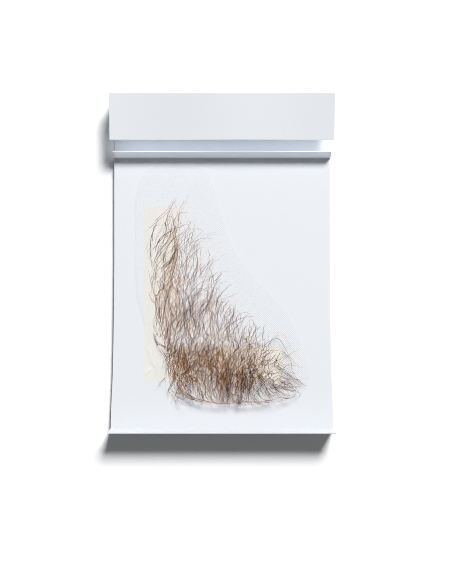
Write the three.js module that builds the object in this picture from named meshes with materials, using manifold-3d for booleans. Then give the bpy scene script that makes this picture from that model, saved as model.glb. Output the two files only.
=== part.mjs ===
// A false sideburn of hair knotted on fine lace, held by two strips of tape on a folded display card.
// Millimetres, +Z up. The card lies on its back, with +X to the right and +Y towards its header flap.
// The origin is on the surface that the card lies on, under the middle of the card.

import * as THREE from 'three';
import { mergeVertices } from 'three/addons/utils/BufferGeometryUtils.js';
import Module from 'manifold-3d';

const wasm = await Module();
wasm.setup();

// Folded card, seen from the side: header flap, top wall and floor, then the panel, which hangs a
// little above the surface between two upright strips, the lip at its head and the foot at its end.
const CARD_LENGTH = 178.6;
const CARD_THICKNESS = 0.7;
const HEADER_DEPTH = 24.1;
const HEADER_TOP = 17;
const HEADER_DROP = 2;
const HEADER_SPREAD = 3;
const LIP_Y = 56.8;
const LIP_TOP = 10.2;
const LIP_LEAN = 2.6;
const LIP_WIDTH = 116;
const FOOT_TOP = 16.5;
const FOOT_LEAN = 0.6;
const FOOT_WIDTH = 119.8;
const PANEL_LIFT = 2.6;

// The panel's end curls up to the foot.
const CURL_START_Y = -50;
const CURL_RISE = 0.5;
const PANEL_ROW_STEP = 6;

// Width of the panel at each height up the card. It spreads a little towards the foot.
const PANEL_WIDTHS = [
  { y: -89.3, width: 119.2 },
  { y: -81, width: 119 },
  { y: -73, width: 118.4 },
  { y: -62, width: 117.3 },
  { y: -41, width: 116.3 },
  { y: -19, width: 115.7 },
  { y: 2, width: 115.4 },
  { y: 89.3, width: 115.4 },
];

// Heights of the layers above the panel, each with a small gap to the one under it.
const LAYER_GAP = 0.3;
const TAPE_THICKNESS = 0.5;
const LACE_THICKNESS = 1;
const GROUND_THICKNESS = 0.6;
const TAPE_LIFT = LAYER_GAP;
const LACE_LIFT = TAPE_LIFT + TAPE_THICKNESS + LAYER_GAP;
const HAIR_LIFT = LACE_LIFT + LACE_THICKNESS + LAYER_GAP;

// Tape strips, cut from one roll.
const TAPE_WIDTH = 19.2;
const TAPE_LEFT = -41.8;
const TAPE_TOP = 30.4;
const TAPE_BOTTOM = -63.2;
const TAPE_CROSS_RIGHT = 32.6;
const TAPE_ROW_STEP = 4;

// Lace outline: the left and right edge at each height up the card, from the cheek to the temple.
const LACE_ROWS = 44;
const LACE_EDGES = [
  { y: -76, left: -8.2, right: 27.5 },
  { y: -72.9, left: -20.4, right: 37.6 },
  { y: -67.7, left: -30, right: 44.2 },
  { y: -59.4, left: -35.5, right: 47 },
  { y: -51.2, left: -37.6, right: 45.3 },
  { y: -43, left: -39.6, right: 42.8 },
  { y: -33.9, left: -41.3, right: 38.9 },
  { y: -24.9, left: -43.6, right: 33.7 },
  { y: -15.9, left: -45.5, right: 25.9 },
  { y: -7.9, left: -46.2, right: 17.9 },
  { y: 2, left: -46.4, right: 10.2 },
  { y: 13, left: -46.4, right: 4.2 },
  { y: 24.9, left: -46.4, right: 0.5 },
  { y: 35.9, left: -46.2, right: -2.6 },
  { y: 43.9, left: -43.8, right: -5.6 },
  { y: 50.8, left: -39.2, right: -9.9 },
  { y: 53.8, left: -32.9, right: -16.9 },
];

// Rows of knotted hair: the ends of each row, how far the locks at its two ends lean from +Y
// towards +X in degrees, and how long they are. The rows along the jaw fan out downwards.
const HAIR_ROWS = [
  { y: -71.9, left: -15.3, right: 33.5, leanLeft: 172, leanRight: 108, length: 9 },
  { y: -66.7, left: -24.4, right: 37.5, leanLeft: 186, leanRight: 98, length: 12 },
  { y: -60.5, left: -28.4, right: 36.9, leanLeft: -6, leanRight: 74, length: 12 },
  { y: -53.3, left: -29.8, right: 33.8, leanLeft: -8, leanRight: 46, length: 14 },
  { y: -46.1, left: -31.2, right: 29.7, leanLeft: -8, leanRight: 30, length: 16 },
  { y: -39, left: -32.6, right: 24.1, leanLeft: -8, leanRight: 20, length: 18 },
  { y: -31.9, left: -34.1, right: 16.5, leanLeft: -6, leanRight: 16, length: 19 },
  { y: -24.9, left: -35.5, right: 9, leanLeft: -2, leanRight: 14, length: 20 },
  { y: -17.9, left: -36.9, right: 2, leanLeft: 2, leanRight: 14, length: 20 },
  { y: -10.9, left: -37.9, right: -4, leanLeft: 5, leanRight: 16, length: 20 },
  { y: -3.9, left: -38.2, right: -8.5, leanLeft: 8, leanRight: 18, length: 20 },
  { y: 3, left: -38.2, right: -10.9, leanLeft: 12, leanRight: 20, length: 19 },
  { y: 10, left: -38, right: -13.4, leanLeft: 16, leanRight: 20, length: 18 },
  { y: 17, left: -37.2, right: -15.9, leanLeft: 20, leanRight: 20, length: 16 },
  { y: 23.9, left: -33.8, right: -20.4, leanLeft: 20, leanRight: 16, length: 13 },
];

// Past the tape the lace is free, and its jaw edge curls up off the panel with the hair on it.
const JAW_LIFT = 3.5;
const JAW_DEPTH = TAPE_BOTTOM - LACE_EDGES[0].y;

// Ground of knots, and the locks that grow from it.
const GROUND_ROWS = 30;
const GROUND_MARGIN = 1.5;
const LOCK_PITCH = 6.4;
const LOCK_INSET = 1.8;
const LOCK_SIDES = 5;
const LOCK_STEPS = 4;
const LOCK_WIDTH = 3.8;
const LOCK_HEIGHT = 1.5;
const LOCK_TIP_SHARE = 0.16;
const LOCK_RISE = 2.4;
const LOCK_TIP_RISE = 1.3;
const LOCK_LEAN_SPREAD = 9;
const LOCK_BOW = 0.14;
const LOCK_LENGTH_SPREAD = 0.22;

const GOLDEN_STEP = 0.618034;

const FINISHES = {
  card: { color: 0xf1f3f7, roughness: 0.55, metalness: 0 },
  tape: { color: 0xf0ead8, roughness: 0.8, metalness: 0 },
  lace: { color: 0xe8e2e4, roughness: 0.9, metalness: 0 },
  hair: { color: 0x63432f, roughness: 0.6, metalness: 0 },
};

// Height of the panel's upper face at a place along the card.
function panelTop(y) {
  const curlLength = CURL_START_Y + CARD_LENGTH / 2;
  const share = THREE.MathUtils.clamp((CURL_START_Y - y) / curlLength, 0, 1);
  return PANEL_LIFT + CARD_THICKNESS + CURL_RISE * share ** 2;
}

// Height that the tape, lace and hair lie from at a place along the card.
function lyingTop(y) {
  const free = THREE.MathUtils.clamp((TAPE_BOTTOM - y) / JAW_DEPTH, 0, 1);
  return panelTop(y) + JAW_LIFT * free ** 2;
}

// Direction square to the lying lace at a place along the card.
function lyingNormal(y) {
  const step = 0.1;
  const slope = (lyingTop(y + step) - lyingTop(y - step)) / (2 * step);
  return new THREE.Vector3(0, -slope, 1).normalize();
}

// A value that wanders evenly between -1 and 1 as the index counts up.
function wander(index, start) {
  const place = index * GOLDEN_STEP + start;
  return 2 * (place - Math.floor(place)) - 1;
}

// A column of a table of rows, read at any y between its ends along a smooth or a straight course.
function column(rows, name, Course = THREE.CubicInterpolant) {
  const places = rows.map((row) => row.y);
  const values = rows.map((row) => row[name]);
  const curve = new Course(places, values, 1);
  return (y) => curve.evaluate(y)[0];
}

// A closed geometry as a solid that can be joined to another.
function solidOf(geometry) {
  const bare = geometry.clone();
  bare.deleteAttribute('normal');
  bare.deleteAttribute('uv');
  const merged = mergeVertices(bare, 1e-4);
  return new wasm.Manifold(
    new wasm.Mesh({
      numProp: 3,
      vertProperties: new Float32Array(merged.attributes.position.array),
      triVerts: new Uint32Array(merged.index.array),
    }),
  );
}

// A joined solid as a geometry again. Pockets closed in between locks are filled.
function geometryOf(solid) {
  const shells = solid.decompose();
  const outside = shells.reduce((best, shell) => (shell.volume() > best.volume() ? shell : best));
  const mesh = outside.getMesh();
  const geometry = new THREE.BufferGeometry();
  geometry.setAttribute('position', new THREE.BufferAttribute(mesh.vertProperties, 3));
  geometry.setIndex(new THREE.BufferAttribute(mesh.triVerts, 1));
  geometry.computeVertexNormals();
  return geometry;
}

// The outline of a folded sheet seen from the side: its middle line with half a thickness each way.
function foldedOutline(middle) {
  const half = CARD_THICKNESS / 2;
  const offsetLine = (side) =>
    middle.map((point, i) => {
      const before = middle[Math.max(i - 1, 0)];
      const after = middle[Math.min(i + 1, middle.length - 1)];
      const into = point.clone().sub(before).normalize();
      const out = after.clone().sub(point).normalize();
      const along = i === 0 ? out : i === middle.length - 1 ? into : into.clone().add(out).normalize();
      const reach = half / Math.max(along.dot(i === 0 ? out : into), 0.3);
      return new THREE.Vector2(-along.y, along.x).multiplyScalar(side * reach).add(point);
    });
  return new THREE.Shape([...offsetLine(1), ...offsetLine(-1).reverse()]);
}

// A side outline drawn as (y, z), as wide along X as the card is at each place.
function acrossCard(outline, widthAt) {
  const geometry = new THREE.ExtrudeGeometry(outline, { depth: 1, bevelEnabled: false });
  geometry.translate(0, 0, -0.5);
  const yzToSide = new THREE.Matrix4().makeBasis(
    new THREE.Vector3(0, 1, 0),
    new THREE.Vector3(0, 0, 1),
    new THREE.Vector3(1, 0, 0),
  );
  geometry.applyMatrix4(yzToSide);
  const place = geometry.attributes.position;
  for (let i = 0; i < place.count; i += 1) {
    place.setX(i, place.getX(i) * widthAt(place.getY(i), place.getZ(i)));
  }
  return geometry;
}

function cardGeometry() {
  const half = CARD_THICKNESS / 2;
  const wallY = CARD_LENGTH / 2 - half;
  const footY = -CARD_LENGTH / 2 + half + FOOT_LEAN;
  const panelWidth = column(PANEL_WIDTHS, 'width', THREE.LinearInterpolant);
  const rise = (z) => Math.max(z - CARD_THICKNESS, 0) / HEADER_TOP;
  const backWidth = (y, z) => panelWidth(y) + HEADER_SPREAD * rise(z);
  const back = [
    new THREE.Vector2(wallY - HEADER_DEPTH, HEADER_TOP - HEADER_DROP),
    new THREE.Vector2(wallY, HEADER_TOP),
    new THREE.Vector2(wallY, half),
    new THREE.Vector2(LIP_Y, half),
  ];
  const lip = [
    new THREE.Vector2(LIP_Y, 0),
    new THREE.Vector2(LIP_Y, PANEL_LIFT + half),
    new THREE.Vector2(LIP_Y + LIP_LEAN, LIP_TOP),
  ];
  const foot = [
    new THREE.Vector2(footY, 0),
    new THREE.Vector2(footY, panelTop(footY) - half),
    new THREE.Vector2(footY - FOOT_LEAN, FOOT_TOP),
  ];
  const panel = drapedSheet({
    bottom: footY,
    top: LIP_Y,
    left: (y) => -panelWidth(y) / 2,
    right: (y) => panelWidth(y) / 2,
    heightAt: panelTop,
    lift: -CARD_THICKNESS,
    thickness: CARD_THICKNESS,
    rows: Math.round((LIP_Y - footY) / PANEL_ROW_STEP),
    roundEnds: false,
  });
  const pieces = [
    panel,
    acrossCard(foldedOutline(back), backWidth),
    acrossCard(foldedOutline(lip), () => LIP_WIDTH),
    acrossCard(foldedOutline(foot), () => FOOT_WIDTH),
  ];
  return geometryOf(wasm.Manifold.union(pieces.map(solidOf)));
}

// A sheet at a height along the card: its left and right edges are functions of y.
function drapedSheet({ bottom, top, left, right, heightAt, lift, thickness, rows, roundEnds }) {
  const geometry = new THREE.BoxGeometry(1, 1, 1, 1, rows, 1);
  const place = geometry.attributes.position;
  for (let i = 0; i < place.count; i += 1) {
    const up = place.getY(i) + 0.5;
    const eased = roundEnds ? (1 - Math.cos(Math.PI * up)) / 2 : up;
    const y = THREE.MathUtils.lerp(bottom, top, eased);
    const x = THREE.MathUtils.lerp(left(y), right(y), place.getX(i) + 0.5);
    place.setXYZ(i, x, y, heightAt(y) + lift + (place.getZ(i) + 0.5) * thickness);
  }
  geometry.computeVertexNormals();
  return geometry;
}

function tapeGeometry(left, right, bottom, top) {
  return drapedSheet({
    bottom,
    top,
    left: () => left,
    right: () => right,
    heightAt: lyingTop,
    lift: TAPE_LIFT,
    thickness: TAPE_THICKNESS,
    rows: Math.round((top - bottom) / TAPE_ROW_STEP),
    roundEnds: false,
  });
}

function laceGeometry() {
  return drapedSheet({
    bottom: LACE_EDGES[0].y,
    top: LACE_EDGES.at(-1).y,
    left: column(LACE_EDGES, 'left'),
    right: column(LACE_EDGES, 'right'),
    heightAt: lyingTop,
    lift: LACE_LIFT,
    thickness: LACE_THICKNESS,
    rows: LACE_ROWS,
    roundEnds: true,
  });
}

// The thin ground of knots that the locks grow from.
function groundGeometry() {
  const left = column(HAIR_ROWS, 'left');
  const right = column(HAIR_ROWS, 'right');
  return drapedSheet({
    bottom: HAIR_ROWS[0].y,
    top: HAIR_ROWS.at(-1).y,
    left: (y) => left(y) - GROUND_MARGIN,
    right: (y) => right(y) + GROUND_MARGIN,
    heightAt: lyingTop,
    lift: HAIR_LIFT,
    thickness: GROUND_THICKNESS,
    rows: GROUND_ROWS,
    roundEnds: true,
  });
}

// One lock: a flat cone bent along a curve from its knot, over the ground, to its tip. The bow
// carries the middle of the lock to one side.
function lockGeometry(x, y, lean, length, bow) {
  const direction = new THREE.Vector2(Math.sin(lean), Math.cos(lean));
  const pointAt = (share, sideways, rise) => {
    const px = x + length * (direction.x * share + direction.y * sideways);
    const py = y + length * (direction.y * share - direction.x * sideways);
    return new THREE.Vector3(px, py, lyingTop(py) + HAIR_LIFT + LOCK_HEIGHT / 2 + rise);
  };
  const spine = new THREE.QuadraticBezierCurve3(
    pointAt(0, 0, 0),
    pointAt(0.5, bow, LOCK_RISE),
    pointAt(1, 0, LOCK_TIP_RISE),
  );
  const geometry = new THREE.CylinderGeometry(LOCK_TIP_SHARE / 2, 0.5, 1, LOCK_SIDES, LOCK_STEPS);
  const place = geometry.attributes.position;
  for (let i = 0; i < place.count; i += 1) {
    const along = place.getY(i) + 0.5;
    const point = spine.getPoint(along);
    const tangent = spine.getTangent(along);
    const side = tangent.clone().cross(lyingNormal(point.y)).normalize();
    const over = side.clone().cross(tangent);
    point
      .addScaledVector(side, place.getX(i) * LOCK_WIDTH)
      .addScaledVector(over, place.getZ(i) * LOCK_HEIGHT);
    place.setXYZ(i, point.x, point.y, point.z);
  }
  return geometry;
}

function hairGeometry() {
  let solid = solidOf(groundGeometry());
  let index = 0;
  HAIR_ROWS.forEach((row, rowIndex) => {
    const span = row.right - row.left - 2 * LOCK_INSET;
    const count = Math.round(span / LOCK_PITCH);
    const stagger = rowIndex % 2 === 0 ? 0.25 : 0.75;
    for (let i = 0; i < count; i += 1) {
      const across = (i + stagger) / count;
      const x = row.left + LOCK_INSET + span * across;
      const lean = THREE.MathUtils.lerp(row.leanLeft, row.leanRight, across);
      const leanWandered = lean + LOCK_LEAN_SPREAD * wander(index, 0.1);
      const length = row.length * (1 + LOCK_LENGTH_SPREAD * wander(index, 0.37));
      const bow = LOCK_BOW * wander(index, 0.73);
      const lock = lockGeometry(x, row.y, THREE.MathUtils.degToRad(leanWandered), length, bow);
      solid = solid.add(solidOf(lock));
      index += 1;
    }
  });
  return geometryOf(solid);
}

// One named piece of the assembly.
function piece(name, geometry, finish) {
  const mesh = new THREE.Mesh(geometry, new THREE.MeshStandardMaterial(finish));
  mesh.name = name;
  return mesh;
}

const tapeRight = TAPE_LEFT + TAPE_WIDTH;

const sideburn = new THREE.Group();
sideburn.name = 'sideburn_on_card';
sideburn.add(
  piece('display_card', cardGeometry(), FINISHES.card),
  piece('tape_upright', tapeGeometry(TAPE_LEFT, tapeRight, TAPE_BOTTOM, TAPE_TOP), FINISHES.tape),
  piece(
    'tape_cross',
    tapeGeometry(tapeRight + LAYER_GAP, TAPE_CROSS_RIGHT, TAPE_BOTTOM, TAPE_BOTTOM + TAPE_WIDTH),
    FINISHES.tape,
  ),
  piece('lace_base', laceGeometry(), FINISHES.lace),
  piece('hair', hairGeometry(), FINISHES.hair),
);

export default sideburn;
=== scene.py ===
"""Looks of a false sideburn on its display card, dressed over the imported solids.

Metres, +Z up. The card lies on its back, with +X to the right and +Y towards its header flap.
"""

import logging
import math
from dataclasses import dataclass, replace
from enum import Enum

import bmesh
import bpy
import numpy as np
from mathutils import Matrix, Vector


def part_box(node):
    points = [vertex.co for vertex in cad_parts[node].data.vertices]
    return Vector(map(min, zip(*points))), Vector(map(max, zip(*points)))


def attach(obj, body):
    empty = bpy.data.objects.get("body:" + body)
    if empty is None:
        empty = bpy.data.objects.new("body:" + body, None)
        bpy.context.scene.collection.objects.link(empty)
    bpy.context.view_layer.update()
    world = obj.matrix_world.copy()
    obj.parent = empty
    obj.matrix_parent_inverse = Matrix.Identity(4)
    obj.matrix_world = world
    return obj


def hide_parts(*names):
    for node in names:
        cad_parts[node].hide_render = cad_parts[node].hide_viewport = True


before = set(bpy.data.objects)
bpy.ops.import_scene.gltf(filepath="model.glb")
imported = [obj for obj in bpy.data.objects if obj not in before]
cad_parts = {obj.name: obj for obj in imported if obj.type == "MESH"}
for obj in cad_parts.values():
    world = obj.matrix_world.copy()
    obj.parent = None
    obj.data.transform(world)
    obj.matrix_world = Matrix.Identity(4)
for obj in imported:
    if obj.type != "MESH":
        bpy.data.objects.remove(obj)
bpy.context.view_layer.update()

LOG = logging.getLogger("sideburn")
MM = 0.001
SEED = 7
BODY = "root"

Pair = tuple[float, float]
Triple = tuple[float, float, float]
Rgba = tuple[float, float, float, float]


class Slot(Enum):
    """The record's material slots."""

    CARD = "card"
    TAPE = "tape"
    LACE = "lace"
    HAIR = "hair"


def linear(hex_colour: str) -> Rgba:
    """Turn an sRGB hex colour into linear light.

    Args:
        hex_colour: six hex digits after a hash.

    Returns:
        Linear red, green, blue and an alpha of one.
    """
    shares = [int(hex_colour[i : i + 2], 16) / 255 for i in (1, 3, 5)]
    light = [c / 12.92 if c <= 0.04045 else ((c + 0.055) / 1.055) ** 2.4 for c in shares]
    return (light[0], light[1], light[2], 1.0)


def add_node(tree: bpy.types.NodeTree, kind: str, settings: dict, inputs: dict) -> bpy.types.Node:
    """Add a node with its settings, and set or link its inputs.

    Args:
        tree: the material's node tree.
        kind: the node's type name.
        settings: attribute names and their values.
        inputs: socket names or places, each with a value or an output socket.

    Returns:
        The new node.
    """
    node = tree.nodes.new(kind)
    for name, value in settings.items():
        setattr(node, name, value)
    for key, value in inputs.items():
        if isinstance(value, bpy.types.NodeSocket):
            tree.links.new(value, node.inputs[key])
        else:
            node.inputs[key].default_value = value
    return node


def new_material(name: str) -> tuple[bpy.types.Material, bpy.types.NodeTree, bpy.types.Node]:
    """Make a material with one Principled shader.

    Args:
        name: the material's name.

    Returns:
        The material, its node tree and the shader node.
    """
    material = bpy.data.materials.new(name)
    material.use_nodes = True
    tree = material.node_tree
    return material, tree, tree.nodes["Principled BSDF"]


def hold(piece: bpy.types.Object, node: str) -> None:
    """Tie a finished piece to the part's body, and hide the solid that it stands for.

    Args:
        piece: the finished object.
        node: the solid's node.
    """
    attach(piece, BODY)
    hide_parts(node)


def new_piece(name: str, mesh: bpy.types.Mesh, material: bpy.types.Material) -> bpy.types.Object:
    """Put a mesh in the scene as an object at the origin.

    Args:
        name: the piece's name.
        mesh: its mesh, in the part's frame.
        material: its finish.

    Returns:
        The new object.
    """
    mesh.materials.append(material)
    piece = bpy.data.objects.new(name, mesh)
    bpy.context.scene.collection.objects.link(piece)
    return piece


def mesh_of(bm: bmesh.types.BMesh, name: str, smooth: bool = True) -> bpy.types.Mesh:
    """Turn a bmesh into a mesh and free it.

    Args:
        bm: the finished bmesh.
        name: the mesh's name.
        smooth: whether its faces are shaded as one smooth surface.

    Returns:
        The new mesh.
    """
    mesh = bpy.data.meshes.new(name)
    bm.to_mesh(mesh)
    bm.free()
    if smooth:
        mesh.shade_smooth()
    return mesh


def table_column(rows: tuple, name: str) -> np.ndarray:
    """One column of a table's rows."""
    return np.array([getattr(row, name) for row in rows], float)


def smooth_column(places: np.ndarray, values: np.ndarray, at: np.ndarray) -> np.ndarray:
    """Read a column of a short table at any place, along a smooth curve.

    Args:
        places: the rows' places, rising.
        values: the column's values.
        at: where to read it.

    Returns:
        The values there.
    """
    slopes = np.gradient(values, places)
    i = np.clip(np.searchsorted(places, at) - 1, 0, len(places) - 2)
    gap = places[i + 1] - places[i]
    t = np.clip((at - places[i]) / gap, 0, 1)
    start = (1 + 2 * t) * (1 - t) ** 2 * values[i] + t * (1 - t) ** 2 * gap * slopes[i]
    end = t**2 * (3 - 2 * t) * values[i + 1] + t**2 * (t - 1) * gap * slopes[i + 1]
    return start + end


@dataclass(frozen=True)
class Grain:
    """A noise pattern: the size of its grains in millimetres, its finer layers and their strength."""

    size_mm: float
    detail: float
    roughness: float


@dataclass(frozen=True)
class PaperFinish:
    """A paper face: two close shades in clouds over a shallow relief, with its roughness and its sheen."""

    name: str
    colour: str
    shade: str
    clouds: Grain
    relief: Grain
    relief_strength: float
    relief_mm: float
    roughness: float
    sheen: float

    def material(self) -> bpy.types.Material:
        """Make the paper's material.

        Returns:
            The material.
        """
        material, tree, shader = new_material(self.name)
        place = add_node(tree, "ShaderNodeTexCoord", {}, {}).outputs["Object"]
        clouds, relief = (
            add_node(
                tree,
                "ShaderNodeTexNoise",
                {},
                {
                    "Vector": place,
                    "Scale": 1 / (grain.size_mm * MM),
                    "Detail": grain.detail,
                    "Roughness": grain.roughness,
                },
            )
            for grain in (self.clouds, self.relief)
        )
        tint = add_node(
            tree,
            "ShaderNodeMix",
            {"data_type": "RGBA"},
            {0: clouds.outputs["Fac"], 6: linear(self.colour), 7: linear(self.shade)},
        )
        depth = self.relief_mm * MM
        bump = add_node(
            tree,
            "ShaderNodeBump",
            {},
            {"Height": relief.outputs["Fac"], "Strength": self.relief_strength, "Distance": depth},
        )
        tree.links.new(tint.outputs[2], shader.inputs["Base Color"])
        tree.links.new(bump.outputs["Normal"], shader.inputs["Normal"])
        shader.inputs["Roughness"].default_value = self.roughness
        shader.inputs["Specular IOR Level"].default_value = self.sheen
        return material


# Clay-coated white folding board, calendered: cool white, nearly even, with a dull sheen.
WHITE_BOARD = PaperFinish(
    name="coated_white_board",
    colour="#e9ecef",
    shade="#e4e7eb",
    clouds=Grain(0.9, 3.0, 0.6),
    relief=Grain(0.9, 3.0, 0.6),
    relief_strength=0.08,
    relief_mm=0.02,
    roughness=0.55,
    sheen=0.35,
)
# The same board on the foot, painted a little greyer as painted shade, to tone down the lamp on its inner
# face.
FOOT_BOARD_PAINTED_SHADE = replace(WHITE_BOARD, name="coated_white_board_foot_painted_shade", colour="#dadde1", shade="#d5d8dc")
# Double-sided tape on a creped cream tissue: matt, a little cloudy where the glue is thicker.
TISSUE_TAPE = PaperFinish(
    name="cream_tissue_tape",
    colour="#edebe6",
    shade="#e7e5de",
    clouds=Grain(3.5, 4.0, 0.6),
    relief=Grain(0.7, 2.0, 0.5),
    relief_strength=0.25,
    relief_mm=0.06,
    roughness=0.75,
    sheen=0.3,
)


@dataclass(frozen=True)
class NetFinish:
    """Wig lace, a nylon tulle net: pale pinkish threads round open holes.

    The real holes are about half a millimetre, too fine to show, so the net is drawn coarser. The cover
    and the veil are how much the threads hide, and how much the holes between them do.
    """

    name: str = "nylon_wig_lace"
    colour: str = "#eee6e8"
    hole_mm: float = 0.76
    thread_mm: float = 0.1
    thread_blur: float = 1.6
    turn_deg: float = 45
    unevenness: float = 0.2
    cover: float = 0.075
    veil: float = 0.02
    roughness: float = 0.6

    def material(self) -> bpy.types.Material:
        """Make the net: threads where a diamond cell's edge is near, and a faint veil between.

        Returns:
            The material.
        """
        material, tree, shader = new_material(self.name)
        place = add_node(tree, "ShaderNodeTexCoord", {}, {}).outputs["Object"]
        turn = (0, 0, math.radians(self.turn_deg))
        to_mm = (1 / MM, 1 / MM, 1 / MM)
        turned = add_node(
            tree, "ShaderNodeMapping", {}, {"Vector": place, "Rotation": turn, "Scale": to_mm}
        )
        cells = add_node(
            tree,
            "ShaderNodeTexVoronoi",
            {"voronoi_dimensions": "2D", "feature": "DISTANCE_TO_EDGE"},
            {"Vector": turned.outputs["Vector"], "Scale": 1 / self.hole_mm, "Randomness": self.unevenness},
        )
        half = self.thread_mm / 2 / self.hole_mm
        threads = add_node(
            tree,
            "ShaderNodeMapRange",
            {},
            {0: cells.outputs["Distance"], 1: half, 2: half * self.thread_blur, 3: self.cover, 4: self.veil},
        )
        tree.links.new(threads.outputs[0], shader.inputs["Alpha"])
        shader.inputs["Base Color"].default_value = linear(self.colour)
        shader.inputs["Roughness"].default_value = self.roughness
        return material


@dataclass(frozen=True)
class HairFinish:
    """Crimped human hair, dull and dry: coarse dark brown strands over fine golden ones."""

    name: str = "crimped_human_hair"
    tones: tuple[tuple[float, str], ...] = (
        (0.0, "#340c02"),
        (0.25, "#5c2006"),
        (0.5, "#7c400a"),
        (0.65, "#976217"),
        (0.8, "#c49138"),
        (0.92, "#e1b670"),
    )
    roughness: float = 0.45
    sheen: float = 0.05

    def material(self) -> bpy.types.Material:
        """Make the hair's material, whose tone is each strand's own.

        Returns:
            The material.
        """
        material, tree, shader = new_material(self.name)
        tone = add_node(tree, "ShaderNodeAttribute", {"attribute_name": "tone"}, {})
        ramp = add_node(tree, "ShaderNodeValToRGB", {}, {"Fac": tone.outputs["Fac"]})
        stops = ramp.color_ramp.elements
        while len(stops) > 1:
            stops.remove(stops[-1])
        stops[0].position, stops[0].color = self.tones[0][0], linear(self.tones[0][1])
        for place, colour in self.tones[1:]:
            stops.new(place).color = linear(colour)
        tree.links.new(ramp.outputs["Color"], shader.inputs["Base Color"])
        shader.inputs["Roughness"].default_value = self.roughness
        shader.inputs["Specular IOR Level"].default_value = self.sheen
        return material


@dataclass(frozen=True)
class PanelRow:
    """Width of the card's panel at one height up the card, in millimetres."""

    y: float
    width: float


PANEL_ROWS = (
    PanelRow(-89.3, 119.2),
    PanelRow(-81, 119),
    PanelRow(-73, 118.4),
    PanelRow(-62, 117.3),
    PanelRow(-41, 116.3),
    PanelRow(-19, 115.7),
    PanelRow(2, 115.4),
    PanelRow(89.3, 115.4),
)


@dataclass(frozen=True)
class CardForm:
    """Sizes of the folded card, and the height that things on its panel lie at."""

    length: float = 178.6 * MM
    thickness: float = 0.7 * MM
    header_depth: float = 24.1 * MM
    header_top: float = 17 * MM
    header_drop: float = 2 * MM
    header_spread: float = 3 * MM
    upright_spread: float = 0.6 * MM
    lip_y: float = 56.8 * MM
    lip_top: float = 10.2 * MM
    lip_lean: float = 2.6 * MM
    foot_top: float = 16.5 * MM
    foot_lean: float = 0.6 * MM
    panel_lift: float = 2.6 * MM
    curl_start: float = -70 * MM
    curl_rise: float = 0.75 * MM
    rows: tuple[PanelRow, ...] = PANEL_ROWS
    jaw_start: float = -63.2 * MM
    jaw_end: float = -76 * MM
    jaw_lift: float = 3.5 * MM
    lace_lift: float = 0.9 * MM
    ripple: float = 0.12 * MM
    ripple_runs: Pair = (5.3 * MM, 7.1 * MM)
    ripple_start: float = 0.8

    def width(self, y: float) -> float:
        """Width of the panel at a height up the card."""
        places, widths = (table_column(self.rows, name) * MM for name in ("y", "width"))
        return float(np.interp(y, places, widths))

    def panel_top(self, y: np.ndarray) -> np.ndarray:
        """Height of the panel's upper face at each y."""
        share = np.clip((self.curl_start - y) / (self.curl_start + self.length / 2), 0, 1)
        return self.panel_lift + self.thickness + self.curl_rise * share**2

    def lace_top(self, x: np.ndarray, y: np.ndarray) -> np.ndarray:
        """Find the height of the lace: up off the panel, its jaw edge curled and its face rippled.

        Args:
            x: places across the card.
            y: places up the card.

        Returns:
            The height at each place.
        """
        free = np.clip((self.jaw_start - y) / (self.jaw_start - self.jaw_end), 0, 1)
        across, along = self.ripple_runs
        ripple = self.ripple * np.sin(x / across + self.ripple_start) * np.sin(y / along)
        return self.panel_top(y) + self.lace_lift + self.jaw_lift * free**2 + ripple


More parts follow.
